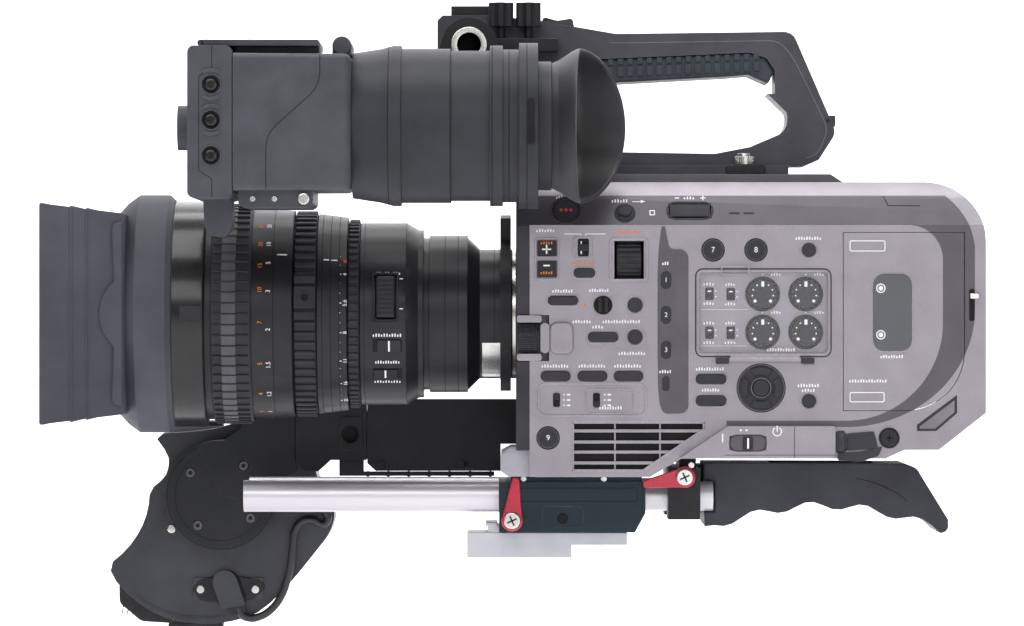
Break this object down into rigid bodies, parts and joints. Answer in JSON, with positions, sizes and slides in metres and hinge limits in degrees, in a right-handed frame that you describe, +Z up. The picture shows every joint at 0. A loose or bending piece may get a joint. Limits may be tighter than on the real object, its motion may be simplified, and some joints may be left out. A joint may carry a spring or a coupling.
{
  "type": "cinema camera rig",
  "caption": "Large-sensor cinema camera with zoom lens, top handle, viewfinder loupe, rod base, rear pad and side grip on an arm.",
  "frame": {"origin": "mouth of the tripod thread in the underside of the tripod plate", "axes": "lens looks along -X, camera rear is +X, operator's left side is -Y, +Z up"},
  "size_m": [0.4441, 0.2852, 0.304],
  "materials": {
    "magnesium": "satin cast paint",
    "body_paint": "fine metallic, satin",
    "dark_paint": "fine metallic, satin",
    "dark_trim": "matte",
    "mount_steel": "polished",
    "electronics": "circuit board",
    "black_plastic": "fine texture",
    "black_metal": "speckled satin",
    "clear_cover": "glossy",
    "lens_black": "satin to glossy",
    "hood_plastic": "flocked matte",
    "optical_glass": "coated",
    "ring_rubber": "matte ribbed",
    "grip_rubber": "soft matte",
    "bright_metal": "knurled",
    "monitor_plastic": "fine texture",
    "eyecup_rubber": "soft matte",
    "anodised_blue_black": "anodised",
    "rod_metal": "satin anodised",
    "red_metal": "anodised red",
    "plain_aluminium": "bead blasted",
    "side_grip_rubber": "soft matte",
    "strap_web": "woven web",
    "cable_skin": "matte"
  },
  "bodies": {
    "camera": {"chassis": "magnesium", "left_cover": "body_paint", "right_cover": "body_paint", "top_cover": "dark_paint", "front_bezel": "dark_trim", "lens_mount": "mount_steel", "sensor_unit": "electronics", "main_board": "electronics", "vent_grille": "body_paint", "battery": "black_plastic", "switch_housing": "body_paint", "audio_hinge": "dark_trim", "lens_barrel": "lens_black", "lens_hood": "hood_plastic", "lens_glass": "optical_glass", "handle_frame": "black_metal", "handle_grip": "grip_rubber", "shoe_plate": "black_metal", "cross_rod": "black_metal", "bridge_plate": "anodised_blue_black", "rods": "rod_metal", "rear_clamp": "black_metal", "tripod_plate": "plain_aluminium", "rear_pad": "grip_rubber", "arm_outer": "black_metal"},
    "lock_ring": {"lock_ring": "black_metal"},
    "media_door": {"media_door": "body_paint"},
    "audio_cover": {"audio_cover": "clear_cover"},
    "audio_dial_1": {"audio_dial_1": "black_plastic"},
    "audio_dial_2": {"audio_dial_2": "black_plastic"},
    "audio_dial_3": {"audio_dial_3": "black_plastic"},
    "audio_dial_4": {"audio_dial_4": "black_plastic"},
    "power_switch": {"power_switch": "black_plastic"},
    "nd_dial": {"nd_dial": "black_plastic"},
    "menu_dial": {"menu_dial": "black_plastic"},
    "rec_button": {"rec_button": "black_plastic"},
    "volume_rocker": {"volume_rocker": "black_plastic"},
    "pad_key": {"pad_key": "black_plastic"},
    "key_1": {"key_1": "black_plastic"},
    "key_2": {"key_2": "black_plastic"},
    "key_3": {"key_3": "black_plastic"},
    "focus_ring": {"focus_ring": "ring_rubber"},
    "zoom_ring": {"zoom_ring": "ring_rubber"},
    "iris_ring": {"iris_ring": "ring_rubber"},
    "zoom_rocker": {"zoom_rocker": "black_plastic"},
    "clamp_knob_1": {"clamp_knob_1": "black_plastic"},
    "clamp_knob_2": {"clamp_knob_2": "black_plastic"},
    "thumbscrew": {"thumbscrew": "bright_metal"},
    "front_lever": {"front_lever": "red_metal"},
    "rear_lever": {"rear_lever": "red_metal"},
    "viewfinder_arm": {"evf_arm": "black_metal"},
    "monitor": {"lcd_monitor": "monitor_plastic", "lcd_dials": "black_plastic"},
    "loupe": {"loupe_box": "monitor_plastic", "loupe_tube": "black_plastic", "eyecup": "eyecup_rubber"},
    "grip_arm": {"arm_inner": "black_metal"},
    "side_grip": {"hand_grip": "side_grip_rubber", "grip_strap": "strap_web", "grip_cable": "cable_skin"}
  },
  "joints": [
    {"name": "lock_turn", "type": "hinge", "parent": "camera", "child": "lock_ring", "pos_m": [-0.006, 0, 0.116], "axis": [1, 0, 0], "range_deg": [0, 50]},
    {"name": "media_door_hinge", "type": "hinge", "parent": "camera", "child": "media_door", "pos_m": [0.1518, -0.07, 0.11], "axis": [0, 0, -1], "range_deg": [0, 90]},
    {"name": "audio_cover_hinge", "type": "hinge", "parent": "camera", "child": "audio_cover", "pos_m": [0.115, -0.0715, 0.0944], "axis": [1, 0, 0], "range_deg": [0, 110]},
    {"name": "audio_dial_1_turn", "type": "hinge", "parent": "camera", "child": "audio_dial_1", "pos_m": [0.114, -0.068, 0.1253], "axis": [0, 1, 0], "range_deg": [-150, 150]},
    {"name": "audio_dial_2_turn", "type": "hinge", "parent": "camera", "child": "audio_dial_2", "pos_m": [0.1342, -0.068, 0.1253], "axis": [0, 1, 0], "range_deg": [-150, 150]},
    {"name": "audio_dial_3_turn", "type": "hinge", "parent": "camera", "child": "audio_dial_3", "pos_m": [0.114, -0.068, 0.1075], "axis": [0, 1, 0], "range_deg": [-150, 150]},
    {"name": "audio_dial_4_turn", "type": "hinge", "parent": "camera", "child": "audio_dial_4", "pos_m": [0.1342, -0.068, 0.1075], "axis": [0, 1, 0], "range_deg": [-150, 150]},
    {"name": "power_switch_slide", "type": "slide", "parent": "camera", "child": "power_switch", "axis": [1, 0, 0], "range_m": [-0.005, 0.005]},
    {"name": "nd_dial_roll", "type": "hinge", "parent": "camera", "child": "nd_dial", "pos_m": [0.0514, -0.0605, 0.1412], "axis": [1, 0, 0], "continuous": true},
    {"name": "menu_dial_roll", "type": "hinge", "parent": "camera", "child": "menu_dial", "pos_m": [0.005, -0.064, 0.1047], "axis": [1, 0, 0], "continuous": true},
    {"name": "rec_press", "type": "slide", "parent": "camera", "child": "rec_button", "axis": [0, 0.8712, -0.4909], "range_m": [0, 0.0008], "stiffness_N_per_m": 800},
    {"name": "volume_rock", "type": "hinge", "parent": "camera", "child": "volume_rocker", "pos_m": [0.08, -0.0662, 0.1644], "axis": [0, 0.4909, 0.8712], "range_deg": [-4, 4], "stiffness_Nm_per_rad": 0.2},
    {"name": "pad_press", "type": "slide", "parent": "camera", "child": "pad_key", "axis": [0, 1, 0], "range_m": [0, 0.0007], "stiffness_N_per_m": 600},
    {"name": "key_1_press", "type": "slide", "parent": "camera", "child": "key_1", "axis": [0, 1, 0], "range_m": [0, 0.0008], "stiffness_N_per_m": 600},
    {"name": "key_2_press", "type": "slide", "parent": "camera", "child": "key_2", "axis": [0, 1, 0], "range_m": [0, 0.0008], "stiffness_N_per_m": 600},
    {"name": "key_3_press", "type": "slide", "parent": "camera", "child": "key_3", "axis": [0, 1, 0], "range_m": [0, 0.0008], "stiffness_N_per_m": 600},
    {"name": "focus_turn", "type": "hinge", "parent": "camera", "child": "focus_ring", "pos_m": [0, 0, 0.116], "axis": [1, 0, 0], "range_deg": [-75, 75]},
    {"name": "zoom_turn", "type": "hinge", "parent": "camera", "child": "zoom_ring", "pos_m": [0, 0, 0.116], "axis": [1, 0, 0], "range_deg": [-40, 40]},
    {"name": "iris_turn", "type": "hinge", "parent": "camera", "child": "iris_ring", "pos_m": [0, 0, 0.116], "axis": [1, 0, 0], "range_deg": [-45, 45]},
    {"name": "zoom_rock", "type": "hinge", "parent": "camera", "child": "zoom_rocker", "pos_m": [-0.063, -0.03981, 0.12345], "axis": [1, 0, 0], "range_deg": [-6, 6], "stiffness_Nm_per_rad": 0.3},
    {"name": "clamp_knob_1_turn", "type": "hinge", "parent": "camera", "child": "clamp_knob_1", "pos_m": [-0.0086, -0.024, 0.25], "axis": [0, 0, 1], "continuous": true},
    {"name": "clamp_knob_2_turn", "type": "hinge", "parent": "camera", "child": "clamp_knob_2", "pos_m": [0.0044, -0.024, 0.25], "axis": [0, 0, 1], "continuous": true},
    {"name": "thumbscrew_turn", "type": "hinge", "parent": "camera", "child": "thumbscrew", "pos_m": [0.1073, -0.0223, 0.188], "axis": [0, 0, 1], "continuous": true},
    {"name": "front_lever_turn", "type": "hinge", "parent": "camera", "child": "front_lever", "pos_m": [-0.0034, -0.048, 0.0185], "axis": [0, 1, 0], "range_deg": [-60, 60]},
    {"name": "rear_lever_turn", "type": "hinge", "parent": "camera", "child": "rear_lever", "pos_m": [0.078, -0.048, 0.039], "axis": [0, -1, 0], "range_deg": [0, 90]},
    {"name": "arm_swing", "type": "hinge", "parent": "camera", "child": "viewfinder_arm", "pos_m": [-0.0236, -0.045, 0.2426], "axis": [0, 1, 0], "range_deg": [0, 12]},
    {"name": "monitor_tilt", "type": "hinge", "parent": "viewfinder_arm", "child": "monitor", "pos_m": [-0.1436, -0.05, 0.203], "axis": [0, -1, 0], "range_deg": [0, 80]},
    {"name": "loupe_flip", "type": "hinge", "parent": "monitor", "child": "loupe", "pos_m": [-0.146, -0.097, 0.2401], "axis": [0, -1, 0], "range_deg": [0, 95]},
    {"name": "grip_arm_slide", "type": "slide", "parent": "camera", "child": "grip_arm", "axis": [-1, 0, 0], "range_m": [0, 0.035]},
    {"name": "side_grip_turn", "type": "hinge", "parent": "grip_arm", "child": "side_grip", "pos_m": [-0.146, 0.07, 0.0272], "axis": [0, 1, 0], "range_deg": [-60, 60]}
  ]
}
